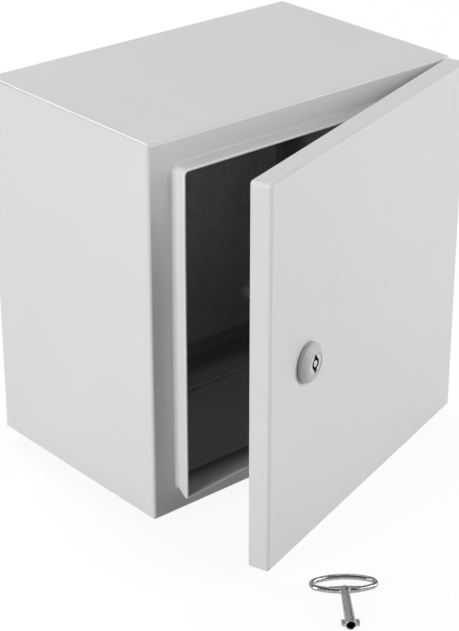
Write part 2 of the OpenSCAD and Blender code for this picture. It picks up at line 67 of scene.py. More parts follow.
MM = 0.001
RECORD = frame["record"]
NODES = frame["nodes"]
BODY_OF = {node: body for body, nodes in RECORD["behaviour"]["bodies"].items() for node in nodes}
SLOT_OF = {part["node"]: part["material_slot"] for part in RECORD["subparts"]}
MOUNTS = {mount["name"]: mount for mount in RECORD["mounts"]}
DOOR_JOINT = next(joint for joint in frame["joints"] if joint["name"] == "door_swing")


def door_home():
    """Matrix from the shut door's frame to where the door stands."""
    hinge = Vector(DOOR_JOINT["pos_m"])
    opened = math.radians(-DOOR_JOINT["range_deg"][0])
    return Matrix.Translation(hinge) @ Matrix.Rotation(opened, 4, "Z") @ Matrix.Translation(-hinge)


def key_home():
    """Matrix from the key's frame, at its tip with X towards the bow, to where the key lies."""
    bore = MOUNTS["key_bore"]
    along = Vector(bore["axis"])
    tip = Vector(bore["pos_m"]) + along * bore["dims"]["length_mm"] * MM / 2
    x, z = -along, Vector((0, 0, 1))
    turn = Matrix((x, z.cross(x), z)).transposed().to_4x4()
    return Matrix.Translation(tip) @ turn


HOME = {"enclosure": Matrix.Identity(4), "door": door_home(), "lock": door_home(), "loose_key": key_home()}


def home(node):
    return HOME[BODY_OF[node]]


def node_mesh(node):
    """A bmesh of a CAD node, welded, in its body's own frame."""
    mesh = bmesh.new()
    mesh.from_mesh(NODES[node].data)
    mesh.transform(home(node).inverted())
    bmesh.ops.remove_doubles(mesh, verts=mesh.verts, dist=2e-6)
    return mesh


def solids(node):
    """Lowest and highest corner of each solid of a node, in its body's own frame."""
    mesh = node_mesh(node)
    left = set(mesh.verts)
    boxes = []
    while left:
        stack = [left.pop()]
        group = []
        while stack:
            vert = stack.pop()
            group.append(vert.co.copy())
            for edge in vert.link_edges:
                other = edge.other_vert(vert)
                if other in left:
                    left.remove(other)
                    stack.append(other)
        boxes.append((Vector(map(min, zip(*group))), Vector(map(max, zip(*group)))))
    mesh.free()
    return sorted(boxes, key=lambda box: tuple(box[0]))


# ---------------------------------------------------------------- node helpers


def new_material(name):
    material = bpy.data.materials.new(name)
    material.use_nodes = True
    tree = material.node_tree
    tree.nodes.clear()
    output = tree.nodes.new("ShaderNodeOutputMaterial")
    shader = tree.nodes.new("ShaderNodeBsdfPrincipled")
    tree.links.new(shader.outputs["BSDF"], output.inputs["Surface"])
    return material, tree, shader


def coords(tree, scale=(1.0, 1.0, 1.0)):
    """The object's own coordinates in metres, stretched by scale."""
    source = tree.nodes.new("ShaderNodeTexCoord")
    mapping = tree.nodes.new("ShaderNodeMapping")
    mapping.inputs["Scale"].default_value = scale
    tree.links.new(source.outputs["Object"], mapping.inputs["Vector"])
    return mapping.outputs["Vector"]


def noise(tree, vector, scale, detail=3.0, rough=0.5, distortion=0.0):
    node = tree.nodes.new("ShaderNodeTexNoise")
    node.inputs["Scale"].default_value = scale
    node.inputs["Detail"].default_value = detail
    node.inputs["Roughness"].default_value = rough
    node.inputs["Distortion"].default_value = distortion
    tree.links.new(vector, node.inputs["Vector"])
    return node.outputs["Fac"]


def cells(tree, vector, scale, output="Distance"):
    node = tree.nodes.new("ShaderNodeTexVoronoi")
    node.inputs["Scale"].default_value = scale
    tree.links.new(vector, node.inputs["Vector"])
    return node.outputs[output]


def ramp(tree, value, stops):
    """Colour ramp through stops of (position, colour or grey)."""
    node = tree.nodes.new("ShaderNodeValToRGB")
    elements = node.color_ramp.elements
    while len(elements) < len(stops):
        elements.new(0.5)
    for element, (position, colour) in zip(elements, stops):
        element.position = position
        rgb = colour if hasattr(colour, "__len__") else (colour,) * 3
        element.color = (*rgb, 1.0)
    tree.links.new(value, node.inputs["Fac"])
    return node.outputs["Color"]


def bump(tree, height, strength, distance, under=None):
    node = tree.nodes.new("ShaderNodeBump")
    node.inputs["Strength"].default_value = strength
    node.inputs["Distance"].default_value = distance
    tree.links.new(height, node.inputs["Height"])
    if under is not None:
        tree.links.new(under, node.inputs["Normal"])
    return node.outputs["Normal"]


def shade(colour, factor):
    return tuple(min(1.0, part * factor) for part in colour)


# ---------------------------------------------------------------- materials


def times(tree, colour, layer):
    """Colour multiplied by a layer of the mesh that holds one number a point."""
    source = tree.nodes.new("ShaderNodeAttribute")
    source.attribute_name = layer
    product = tree.nodes.new("ShaderNodeMixRGB")
    product.blend_type = "MULTIPLY"
    product.inputs["Fac"].default_value = 1.0
    tree.links.new(colour, product.inputs["Color1"])
    tree.links.new(source.outputs["Color"], product.inputs["Color2"])
    return product.outputs["Color"]


def powder_coat(name, colour, roughness, peel, layer=None):
    """Powder coating: faint cloudy colour, orange-peel bump and a fine grain on it, the colour multiplied by a
    layer of painted shade and highlight where one is given.
    """
    material, tree, shader = new_material(name)
    place = coords(tree)
    cloud = noise(tree, place, 9.0, 4.0, 0.55)
    tint = ramp(tree, cloud, [(0.3, shade(colour, 0.985)), (0.7, shade(colour, 1.012))])
    if layer:
        tint = times(tree, tint, layer)
    tree.links.new(tint, shader.inputs["Base Color"])
    patchy = noise(tree, place, 60.0, 5.0, 0.6)
    gloss = ramp(tree, patchy, [(0.25, roughness - 0.04), (0.75, roughness + 0.05)])
    tree.links.new(gloss, shader.inputs["Roughness"])
    orange = noise(tree, place, 520.0, 2.0, 0.45)
    grain = noise(tree, place, 2600.0, 2.0, 0.5)
    normal = bump(tree, orange, peel, 60e-6)
    normal = bump(tree, grain, peel, 12e-6, normal)
    tree.links.new(normal, shader.inputs["Normal"])
    return material


def plated(name, colour, roughness, mottle_scale, dull):
    """Plated metal: mottled colour and gloss over a fine drawn grain."""
    material, tree, shader = new_material(name)
    place = coords(tree)
    mottle = noise(tree, place, mottle_scale, 5.0, 0.6, 0.4)
    tint = ramp(tree, mottle, [(0.3, shade(colour, 0.84)), (0.7, shade(colour, 1.08))])
    tree.links.new(tint, shader.inputs["Base Color"])
    gloss = ramp(tree, mottle, [(0.3, roughness), (0.7, roughness + dull)])
    tree.links.new(gloss, shader.inputs["Roughness"])
    grain = noise(tree, place, 1800.0, 3.0, 0.6)
    tree.links.new(bump(tree, grain, 0.25, 30e-6), shader.inputs["Normal"])
    shader.inputs["Metallic"].default_value = 1.0
    return material


def galvanised(name, colour):
    """Hot-dip galvanised sheet: faint crystals and cloudy patches of differing gloss."""
    material, tree, shader = new_material(name)
    place = coords(tree)
    warp = tree.nodes.new("ShaderNodeVectorMath")
    warp.operation = "ADD"
    wander = tree.nodes.new("ShaderNodeTexNoise")
    wander.inputs["Scale"].default_value = 160.0
    tree.links.new(place, wander.inputs["Vector"])
    small = tree.nodes.new("ShaderNodeVectorMath")
    small.operation = "SCALE"
    small.inputs["Scale"].default_value = 0.004
    tree.links.new(wander.outputs["Color"], small.inputs[0])
    tree.links.new(place, warp.inputs[0])
    tree.links.new(small.outputs["Vector"], warp.inputs[1])
    crystal = tree.nodes.new("ShaderNodeSeparateColor")
    tree.links.new(cells(tree, warp.outputs["Vector"], 190.0, "Color"), crystal.inputs["Color"])
    flake = ramp(tree, crystal.outputs["Red"], [(0.0, shade(colour, 0.95)), (1.0, shade(colour, 1.03))])
    patch = noise(tree, place, 22.0, 4.0, 0.6)
    cloud = ramp(tree, patch, [(0.3, 0.86), (0.7, 1.0)])
    tint = tree.nodes.new("ShaderNodeMixRGB")
    tint.blend_type = "MULTIPLY"
    tint.inputs["Fac"].default_value = 1.0
    tree.links.new(flake, tint.inputs["Color1"])
    tree.links.new(cloud, tint.inputs["Color2"])
    tree.links.new(tint.outputs["Color"], shader.inputs["Base Color"])
    gloss = ramp(tree, patch, [(0.3, 0.5), (0.7, 0.42)])
    tree.links.new(gloss, shader.inputs["Roughness"])
    grain = noise(tree, place, 900.0, 4.0, 0.65)
    tree.links.new(bump(tree, grain, 0.3, 30e-6), shader.inputs["Normal"])
    shader.inputs["Metallic"].default_value = 0.85
    return material


def cast_nickel(name, colour):
    """Nickel on a die casting: wavy skin, mottled gloss, and painted shade darkening the bore."""
    material, tree, shader = new_material(name)
    place = coords(tree)
    mottle = noise(tree, place, 420.0, 4.0, 0.6, 0.5)
    skin = ramp(tree, mottle, [(0.3, shade(colour, 0.7)), (0.7, shade(colour, 1.15))])
    tree.links.new(times(tree, skin, "painted_bore_shade"), shader.inputs["Base Color"])
    gloss = ramp(tree, mottle, [(0.3, 0.1), (0.7, 0.24)])
    tree.links.new(gloss, shader.inputs["Roughness"])
    waves = noise(tree, place, 260.0, 2.0, 0.5)
    pits = noise(tree, place, 1500.0, 3.0, 0.6)
    normal = bump(tree, waves, 0.55, 0.35 * MM)
    tree.links.new(bump(tree, pits, 0.3, 40e-6, normal), shader.inputs["Normal"])
    shader.inputs["Metallic"].default_value = 1.0
    return material


def soft(name, colour, cell_scale):
    """Rubber or foam: matt, cloudy, with a cellular skin."""
    material, tree, shader = new_material(name)
    place = coords(tree)
    cloud = noise(tree, place, 120.0, 4.0, 0.6)
    tint = ramp(tree, cloud, [(0.3, shade(colour, 0.85)), (0.7, shade(colour, 1.15))])
    tree.links.new(tint, shader.inputs["Base Color"])
    gloss = ramp(tree, cloud, [(0.3, 0.64), (0.7, 0.82)])
    tree.links.new(gloss, shader.inputs["Roughness"])
    pores = cells(tree, place, cell_scale)
    tree.links.new(bump(tree, pores, 0.5, 90e-6), shader.inputs["Normal"])
    return material


MATERIALS = {
    "grey_powder_coat": powder_coat("light_grey_powder_coat", (0.655, 0.657, 0.652), 0.38, 0.3, "painted_light_and_shade"),
    "grey_die_cast": powder_coat("grey_enamel", (0.49, 0.493, 0.49), 0.45, 0.2),
    "galvanised_sheet": galvanised("galvanised", (0.55, 0.56, 0.565)),
    "zinc_steel": plated("bright_zinc", (0.62, 0.635, 0.655), 0.24, 140.0, 0.14),
    "chrome_die_cast": plated("nickel", (0.6, 0.597, 0.59), 0.16, 260.0, 0.12),
    "black_rubber": soft("black_rubber", (0.03, 0.03, 0.03), 900.0),
    "foam_seal": soft("grey_foam", (0.33, 0.33, 0.325), 1500.0),
}
CAST_NICKEL = cast_nickel("cast_nickel", (0.42, 0.418, 0.412))

# ---------------------------------------------------------------- shapes turned about an axis


def circle(radius, height, count=40):
    turn = 2 * math.pi / count
    angles = [k * turn for k in range(count)]
    return [Vector((radius * math.cos(angle), radius * math.sin(angle), height)) for angle in angles]


def tip(height):
    return [Vector((0, 0, height))]


def bridge(mesh, rings, place, loop=False):
    """Adds the skin that joins a row of rings, of which one may be a single point."""
    made = [[mesh.verts.new(place @ point) for point in ring] for ring in rings]
    pairs = list(zip(made, made[1:]))
    if loop:
        pairs.append((made[-1], made[0]))
    for lower, upper in pairs:
        for k in range(max(len(lower), len(upper))):
            corners = [lower[k % len(lower)], lower[(k + 1) % len(lower)]]
            corners += [upper[(k + 1) % len(upper)], upper[k % len(upper)]]
            mesh.faces.new(list(dict.fromkeys(corners)))


def lathe(mesh, profile, place, count=40):
    """Adds a solid turned about Z from a profile of (radius, height) that starts and ends on the axis."""
    rings = [circle(radius, height, count) if radius else tip(height) for radius, height in profile]
    bridge(mesh, rings, place)


def hex_reach(across, angle):
    """Distance from a hexagon's middle to its outline."""
    return across / 2 / math.cos(angle % (math.pi / 3) - math.pi / 6)


def hex_ring(across, height, drop, count=48):
    """Ring on a hexagon's outline, lowered by drop where the chamfer cuts the corners."""
    ring = []
    for k in range(count):
        angle = 2 * math.pi * k / count
        reach = hex_reach(across, angle)
        lower = (reach - 0.475 * across) * math.tan(math.radians(30)) * drop
        ring.append(Vector((reach * math.cos(angle), reach * math.sin(angle), height - lower)))
    return ring


def nut(mesh, across, height, bore, place):
    """Adds a hexagon nut on z = 0, chamfered at both ends, with a countersunk bore."""
    lip = 0.08 * bore
    face = 0.475 * across
    rings = [circle(bore, lip, 48), circle(bore + lip, 0, 48), circle(face, 0, 48)]
    rings += [hex_ring(across, 0, -1), hex_ring(across, height, 1), circle(face, height, 48)]
    rings += [circle(bore + lip, height, 48), circle(bore, height - lip, 48)]
    bridge(mesh, rings, place, loop=True)


def hex_head(mesh, across, height, shank, place):
    """Adds a bolt's head on z = 0 with a chamfered, slightly dished top."""
    face = 0.475 * across
    rings = [tip(0), circle(shank, 0, 48), hex_ring(across, 0, 0), hex_ring(across, height, 1)]
    rings += [circle(face, height, 48), circle(0.8 * face, 0.96 * height, 48), tip(0.94 * height)]
    bridge(mesh, rings, place)


def thread(mesh, radius, length, pitch, place, count=28):
    """Adds a threaded rod from z = 0, its crests on the radius and its end chamfered."""
    steps = int(length / pitch * 6)
    depth = 0.5 * pitch
    rings = [tip(0)]
    for j in range(steps + 1):
        height = length * j / steps
        ring = []
        for k in range(count):
            angle = 2 * math.pi * k / count
            phase = (height / pitch - k / count) % 1
            wave = min(1.0, 1.5 * abs(2 * phase - 1))
            reach = radius - depth * (1 - wave)
            reach = min(reach, radius - depth + (length - height))
            ring.append(Vector((reach * math.cos(angle), reach * math.sin(angle), height)))
        rings.append(ring)
    rings.append(tip(length))
    bridge(mesh, rings, place)


# ---------------------------------------------------------------- finishing


def finish(name, mesh, body, slot, replaced=(), smooth=40.0, material=None):
    """Turns a bmesh in its body's frame into a dressed piece that rides on the body."""
    data = bpy.data.meshes.new(name)
    # Pieces without painted shade or highlight get a neutral layer of 1.
    if "painted_light_and_shade" not in mesh.verts.layers.float:
        layer = mesh.verts.layers.float.new("painted_light_and_shade")
        for vert in mesh.verts:
            vert[layer] = 1.0
    bmesh.ops.recalc_face_normals(mesh, faces=mesh.faces)
    for face in mesh.faces:
        face.smooth = True
    mesh.transform(HOME[body])
    mesh.to_mesh(data)
    mesh.free()
    data.set_sharp_from_angle(angle=math.radians(smooth))
    data.materials.append(material or MATERIALS[slot])
    piece = bpy.data.objects.new(name, data)
    bpy.context.scene.collection.objects.link(piece)
    even = piece.modifiers.new("even_normals", "WEIGHTED_NORMAL")
    even.keep_sharp = True
    even.weight = 100
    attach(piece, body)
    if replaced:
        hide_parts(*replaced)
    return piece


def soften(mesh, width, segments):
    """Rounds the sharp edges of a CAD solid."""
    bmesh.ops.dissolve_limit(mesh, angle_limit=math.radians(0.5), verts=mesh.verts, edges=mesh.edges)
    sharp = [edge for edge in mesh.edges if edge.is_manifold and edge.calc_face_angle() > math.radians(35)]
    bmesh.ops.bevel(
        mesh, geom=sharp, offset=width, segments=segments, affect="EDGES", profile=0.5, clamp_overlap=True
    )


def dress(node, width=0.25 * MM, segments=2):
    """A finished copy of a CAD node with rounded edges."""
    mesh = node_mesh(node)
    soften(mesh, width, segments)
    return finish(node + "_finished", mesh, BODY_OF[node], SLOT_OF[node], [node])


# ---------------------------------------------------------------- fasteners

M5, M6, M8 = (2.5 * MM, 0.8 * MM), (3.0 * MM, 1.0 * MM), (4.0 * MM, 1.25 * MM)


def axis_place(low, high, axis, sign):
    """Matrix that lays a turned shape's Z along an axis of a solid's box, from its start."""
    centre = (low + high) / 2
    start = centre.copy()
    start[axis] = low[axis] if sign > 0 else high[axis]
    z = Vector((0, 0, 0))
    z[axis] = sign
    sides = [k for k in range(3) if k != axis]
    span = [high[k] - low[k] for k in sides]
    x = Vector((0, 0, 0))
    x[sides[0] if span[0] >= span[1] else sides[1]] = 1
    turn = Matrix((x, z.cross(x), z)).transposed().to_4x4()
    return Matrix.Translation(start) @ turn


def nuts(node, axis, sign, size):
    mesh = bmesh.new()
    for low, high in solids(node):
        extent = high - low
        across = min(extent[k] for k in range(3) if k != axis)
        nut(mesh, across, extent[axis], size[0] * 0.92, axis_place(low, high, axis, sign))
    return finish(node + "_finished", mesh, BODY_OF[node], SLOT_OF[node], [node])


def studs(node, axis, sign, size, foot):
    """Studs with a round foot of the given length and a threaded shank beyond it."""
    mesh = bmesh.new()
    radius, pitch = size
    for low, high in solids(node):
        extent = high - low
        wide = min(extent[k] for k in range(3) if k != axis) / 2
        place = axis_place(low, high, axis, sign)
        edge = 0.3 * MM
        profile = [(0, 0), (wide - edge, 0), (wide, edge)]
        profile += [(wide, foot - edge), (wide - edge, foot), (0, foot)]
        lathe(mesh, profile, place)
        thread(mesh, radius, extent[axis] - foot, pitch, place @ Matrix.Translation((0, 0, foot)))
    return finish(node + "_finished", mesh, BODY_OF[node], SLOT_OF[node], [node])


def screws(node, axis, sign, size, head, across):
    """Hexagon screws: the head at the start of the axis, the thread beyond it."""
    mesh = bmesh.new()
    radius, pitch = size
    for low, high in solids(node):
        place = axis_place(low, high, axis, sign)
        flip = place @ Matrix.Translation((0, 0, head)) @ Matrix.Rotation(math.pi, 4, "X")
        hex_head(mesh, across, head, radius, flip)
        thread(mesh, radius, (high - low)[axis] - head, pitch, place @ Matrix.Translation((0, 0, head)))
    return finish(node + "_finished", mesh, BODY_OF[node], SLOT_OF[node], [node])


def socket_screws(node, axis, sign, size, head):
    """Screws with a domed head and a hexagon socket at the start of the axis."""
    mesh = bmesh.new()
    radius, pitch = size
    for low, high in solids(node):
        extent = high - low
        wide = min(extent[k] for k in range(3) if k != axis) / 2
        place = axis_place(low, high, axis, sign)
        flip = place @ Matrix.Translation((0, 0, head)) @ Matrix.Rotation(math.pi, 4, "X")
        foot = 0.25 * head
        deep = 0.35 * head
        socket = 1.2 * radius
        rings = [tip(0), circle(wide, 0, 48), circle(wide, foot, 48)]
        for rise in (0.3, 0.6, 0.9, 1.1):
            rings.append(circle(wide * math.cos(rise), foot + (head - foot) * math.sin(rise), 48))
        rings += [hex_ring(socket, head, 0), hex_ring(socket, deep, 0), tip(deep)]
        bridge(mesh, rings, flip)
        thread(mesh, radius, extent[axis] - head, pitch, place @ Matrix.Translation((0, 0, head)))
    return finish(node + "_finished", mesh, BODY_OF[node], SLOT_OF[node], [node])


def pins(node, radius, head):
    """Hinge pins with a domed head on top and a chamfered tail."""
    mesh = bmesh.new()
    for low, high in solids(node):
        wide = (high.x - low.x) / 2
        long = high.z - low.z
        place = axis_place(low, high, 2, 1)
        edge = 0.4 * MM
        top = long - head
        profile = [(0, 0), (radius - edge, 0), (radius, edge), (radius, top), (wide, top)]
        profile += [(wide, top + 0.4 * head), (0.86 * wide, top + 0.8 * head)]
        profile += [(0.5 * wide, top + 0.97 * head), (0, long)]
        lathe(mesh, profile, place)
    return finish(node + "_finished", mesh, BODY_OF[node], SLOT_OF[node], [node])


PLATE_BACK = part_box("mounting_plate")[1].y
PANEL_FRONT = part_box("back_panel")[0].y

studs("plate_studs", 1, -1, M8, PANEL_FRONT - PLATE_BACK)
nuts("plate_nuts", 1, -1, M8)
studs("body_earth_stud", 0, -1, M6, 1 * MM)
nuts("body_earth_nut", 0, -1, M6)
studs("door_earth_stud", 1, 1, M6, 1 * MM)
nuts("door_earth_nut", 1, 1, M6)
screws("gland_screws", 2, 1, M6, 4 * MM, 10 * MM)
nuts("gland_weld_nuts", 2, 1, M6)
screws("cam_screw", 1, -1, M5, 3.5 * MM, 8 * MM)
socket_screws("hinge_screws", 1, -1, M5, 3 * MM)
pins("hinge_pin_upper", 2 * MM, 1.5 * MM)
pins("hinge_pin_lower", 2 * MM, 1.5 * MM)
nuts("lock_nut", 1, 1, (11 * MM / 0.92, 1.0 * MM))

# ---------------------------------------------------------------- body

SHEET = 1.2 * MM
BODY_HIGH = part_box("body_wrap")[1]
RIM_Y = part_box("body_wrap")[0].y
CORNER_R = 5 * MM
FLARE = 3.4 * MM
FLARE_REACH = 60 * MM

# Shares of the paint's full tone: painted shade inside the body, deeper near the back and darkest on the collar's
# inner face, and a painted highlight along the rim
PAINTED_INSIDE_SHADE = 0.78
PAINTED_REAR_SHADE = 0.45
PAINTED_COLLAR_SHADE = 0.2
PAINTED_RIM_HIGHLIGHT = 1.3

# Where the mesh is cut so that painted shade and flare can change, measured from the back, the flange and the
# rim's side
INSIDE_CUTS = (20 * MM, 34 * MM)
COLLAR_CUTS = (-6 * MM, -1 * MM, 2 * MM, 4.5 * MM, 7 * MM, 9.5 * MM, 12.2 * MM)
SILL_CUTS = (8 * MM, 16 * MM, 26 * MM, 38 * MM, 50 * MM, 62 * MM)


def ease(t):
    t = min(1.0, max(0.0, t))
    return t * t * (3 - 2 * t)


def cut(mesh, test, point, normal):
    """Cuts along a plane the faces whose corners all pass a test."""
    faces = [face for face in mesh.faces if all(test(vert.co) for vert in face.verts)]
    edges = {edge for face in faces for edge in face.edges}
    verts = {vert for face in faces for vert in face.verts}
    bmesh.ops.bisect_plane(mesh, geom=[*faces, *edges, *verts], plane_co=point, plane_no=normal, dist=1e-7)


def body_wrap():
    """The wrapped body: collar corners drawn out at the bottom, painted shade inside and on the collar's inner
    face, and a painted highlight along the rim.
    """
    mesh = node_mesh("body_wrap")
    flange = min(vert.co.y for vert in mesh.verts if abs(vert.co.x) > BODY_HIGH.x - SHEET / 2)
    rim = [vert.co for vert in mesh.verts if vert.co.y < RIM_Y + SHEET]
    rim_x = max(abs(place.x) for place in rim)
    rim_z = max(abs(place.z) for place in rim)
    back = flange + 12 * MM
    soften(mesh, 0.3 * MM, 3)

    def collar(place):
        return place.y < back and abs(place.x) < rim_x + 0.1 * MM and abs(place.z) < rim_z + 0.1 * MM

    def sill(place):
        return collar(place) and place.z < 9 * MM - rim_z

    def inner(place):
        within = abs(place.x) < BODY_HIGH.x - SHEET / 2 and abs(place.z) < BODY_HIGH.z - SHEET / 2
        return place.y > flange and within

    for depth in INSIDE_CUTS:
        cut(mesh, inner, Vector((0, -depth, 0)), Vector((0, 1, 0)))
    for depth in COLLAR_CUTS:
        cut(mesh, collar, Vector((0, flange - depth, 0)), Vector((0, 1, 0)))
    for reach in SILL_CUTS:
        for side in (-1, 1):
            cut(mesh, sill, Vector((side * (rim_x - reach), 0, 0)), Vector((1, 0, 0)))
    layer = mesh.verts.layers.float.new("painted_light_and_shade")
    for vert in mesh.verts:
        x, y, z = abs(vert.co.x), vert.co.y, vert.co.z
        vert[layer] = 1.0
        # Painted shade inside the body, deeper within 30 mm of the back, where the mounting plate shades the
        # floor.
        if inner(vert.co):
            vert[layer] = PAINTED_INSIDE_SHADE if y < -30 * MM else PAINTED_REAR_SHADE
        # Painted shade on the collar's inner face, darkest at its rear edge and fading towards the rim.
        if x < rim_x - 1.6 * SHEET and abs(z) < rim_z - 1.6 * SHEET and y < back:
            vert[layer] = PAINTED_COLLAR_SHADE + (1 - PAINTED_COLLAR_SHADE) * ease((back - 3 * MM - y) / (18 * MM))
        # Painted highlight along the rim.
        if y < RIM_Y + 0.7 * MM:
            vert[layer] = PAINTED_RIM_HIGHLIGHT
        forward = ease((flange - 1.5 * MM - y) / (11.5 * MM))
        across = ease((x - rim_x + FLARE_REACH) / FLARE_REACH)
        low = ease((16 * MM - rim_z - z) / (12 * MM))
        off_x, off_z = x - rim_x + CORNER_R, -z - rim_z + CORNER_R
        if off_x > 0 and off_z > 0 and forward > 0:
            square = math.hypot(off_x, off_z) / max(off_x, off_z) - 1
            vert.co.x += math.copysign(off_x * square * forward, vert.co.x)
            vert.co.z -= off_z * square * forward
        vert.co.z -= FLARE * forward**1.6 * across * low
    weld_beads(flange, rim_x, rim_z)
    return finish("body_wrap_finished", mesh, "enclosure", SLOT_OF["body_wrap"], ["body_wrap"])


def weld_beads(flange, rim_x, rim_z):
    """Painted weld beads round the roots of the collar's corners, each running out along the corner."""
    dice = random.Random(7)
    mesh = bmesh.new()
    for side in (-1, 1):
        for end in (-1, 1):
            middle = Vector((side * (rim_x - CORNER_R), flange - 0.6 * MM, end * (rim_z - CORNER_R)))
            rings = []
            for k in range(13):
                angle = math.radians(14 + 62 * k / 12)
                outward = Vector((side * math.cos(angle), 0, end * math.sin(angle)))
                wide = (0.5 + 1.1 * math.sin(math.pi * k / 12)) * (0.85 + 0.3 * dice.random()) * MM
                ring = []
                for j in range(12):
                    turn = 2 * math.pi * j / 12
                    lift = Vector((0, -wide * math.sin(turn), 0))
                    ring.append(middle + outward * (CORNER_R + wide * math.cos(turn)) + lift)
                rings.append(ring)
            ends = [[sum(ring, Vector()) / len(ring)] for ring in (rings[0], rings[-1])]
            bridge(mesh, [ends[0], *rings, ends[1]], Matrix.Identity(4))
    return finish("weld_beads", mesh, "enclosure", SLOT_OF["body_wrap"], smooth=80.0)


def plate(node, axis, sign, inside_shade):
    """A painted plate whose face towards sign on an axis is inside and darkened by painted shade."""
    mesh = node_mesh(node)
    soften(mesh, 0.25 * MM, 2)
    layer = mesh.verts.layers.float.new("painted_light_and_shade")
    middle = sum(corner[axis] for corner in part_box(node)) / 2
    for vert in mesh.verts:
        vert[layer] = inside_shade if (vert.co[axis] - middle) * sign > 0 else 1.0
    return finish(node + "_finished", mesh, "enclosure", SLOT_OF[node], [node])


body_wrap()
# Painted shade on the inner faces of the back panel and the gland plate.
plate("back_panel", 1, -1, PAINTED_REAR_SHADE)
plate("gland_plate", 2, 1, PAINTED_INSIDE_SHADE)

# ---------------------------------------------------------------- key

BOW_DEEP = 22 * MM
BOW_END = 7 * MM
BAND = (2.0 * MM, 2.2 * MM)
WEB_DEEP = 6.0 * MM
WEB_THICK = 3.4 * MM
BIT_LONG = (0.7 * MM, 5.9 * MM)
BIT_REACH = (3.3 * MM, 6.4 * MM)
BIT_THICK = 2.8 * MM
# Painted shade in the tip's bore: the share of the colour left, and the radius it reaches
PAINTED_BORE_SHADE = 0.16
PAINTED_BORE_SHADE_R = 3.25 * MM

# Half section in mm, (radius, height over the tip): the bore, its lip, the tube and the shank up to the bow
BORE = [(0, 14), (2.9, 14), (3, 13.6), (3, 0.5)]
LIP = [(3.35, 0.05), (3.7, 0.05), (4, 0.4)]
SHANK = [(4, 6.6), (3.9, 7.6), (3.25, 39.5), (3.5, 41.4), (3.7, 43.2), (3.4, 45), (2.4, 46.6), (0, 47.2)]


def oval(half_deep, half_wide, end, count):
    """Points round an oval of four arcs: shallow in X, wide in Y."""
    run = half_wide - end
    side = (run * run + half_deep * half_deep - end * end) / (2 * (half_deep - end))
    turn = math.atan2(run, side - half_deep)
    points = []
    for start, stop, centre, radius in (
        (-turn, turn, (half_deep - side, 0), side),
        (turn, math.pi - turn, (0, run), end),
        (math.pi - turn, math.pi + turn, (side - half_deep, 0), side),
        (math.pi + turn, 2 * math.pi - turn, (0, -run), end),
    ):
        for k in range(count):
            angle = start + (stop - start) * k / count
            points.append(Vector((*centre, 0)) + radius * Vector((math.cos(angle), math.sin(angle), 0)))
    return points


def slab(outline, centre, thick):
    """Rings of a flat slab round an outline, closed on the centre of each face."""
    lift = Vector((0, 0, thick / 2))
    lower, upper = ([spot + side * lift for spot in outline] for side in (-1, 1))
    return [[centre - lift], lower, upper, [centre + lift]]


def melt(mesh, voxel, passes):
    """One smooth skin round overlapping solids."""
    data = bpy.data.meshes.new("melt")
    mesh.to_mesh(data)
    mesh.free()
    holder = bpy.data.objects.new("melt", data)
    bpy.context.scene.collection.objects.link(holder)
    remesh = holder.modifiers.new("remesh", "REMESH")
    remesh.mode = "VOXEL"
    remesh.voxel_size = voxel
    relax = holder.modifiers.new("relax", "SMOOTH")
    relax.factor = 0.5
    relax.iterations = passes
    skin = bmesh.new()
    skin.from_object(holder, bpy.context.evaluated_depsgraph_get())
    bpy.data.objects.remove(holder)
    bpy.data.meshes.remove(data)
    return skin


def key():
    """The cast key: round bow with a flat web, tapered shank, two bits and a bored tip."""
    low, high = solids("key")[0]
    half_wide = (high.y - low.y) / 2
    bow_x = high.x - BOW_DEEP / 2
    across, up = BAND
    mesh = bmesh.new()
    path = oval(BOW_DEEP / 2 - across, half_wide - across, BOW_END - across, 26)
    rings = []
    for k, spot in enumerate(path):
        ahead = (path[(k + 1) % len(path)] - path[k - 1]).normalized()
        outward = Vector((ahead.y, -ahead.x, 0))
        ring = []
        for j in range(20):
            turn = 2 * math.pi * j / 20
            ring.append(spot + outward * across * math.cos(turn) + Vector((0, 0, up * math.sin(turn))))
        rings.append(ring)
    bridge(mesh, rings, Matrix.Translation((bow_x, 0, 0)), loop=True)

    chord = WEB_DEEP - BOW_DEEP / 2
    arc = [spot for spot in path if spot.x < chord - 1 * MM]
    arc.sort(key=lambda spot: spot.y)
    reach = arc[-1].y
    steps = [(6 - k) / 6 for k in range(13)]
    edge = [Vector((chord - 1 * MM * step**2, reach * step, 0)) for step in steps]
    web = slab(arc + edge, Vector((chord - 2.5 * MM, 0, 0)), WEB_THICK)
    bridge(mesh, web, Matrix.Translation((bow_x, 0, 0)))

    along = Matrix.Rotation(math.pi / 2, 4, "Y")
    lathe(mesh, [(radius * MM, height * MM) for radius, height in BORE + LIP + SHANK], along, 48)
    (x0, x1), (near, far) = BIT_LONG, BIT_REACH
    for side in (-1, 1):
        corners = [Vector((x, side * y, 0)) for x, y in ((x0, near), (x1, near), (x1, far), (x0, far))]
        bridge(mesh, slab(corners, sum(corners, Vector()) / 4, BIT_THICK), Matrix.Identity(4))

    bmesh.ops.recalc_face_normals(mesh, faces=mesh.faces)
    skin = melt(mesh, 0.3 * MM, 4)
    # Painted shade inside the tip's bore.
    layer = skin.verts.layers.float.new("painted_bore_shade")
    for vert in skin.verts:
        spot = vert.co
        inside = math.hypot(spot.y, spot.z) < PAINTED_BORE_SHADE_R and 0.35 * MM < spot.x < 15 * MM
        vert[layer] = PAINTED_BORE_SHADE if inside else 1.0
    return finish("key_finished", skin, "loose_key", SLOT_OF["key"], ["key"], 70.0, CAST_NICKEL)


key()

# ---------------------------------------------------------------- sheet metal and the rest

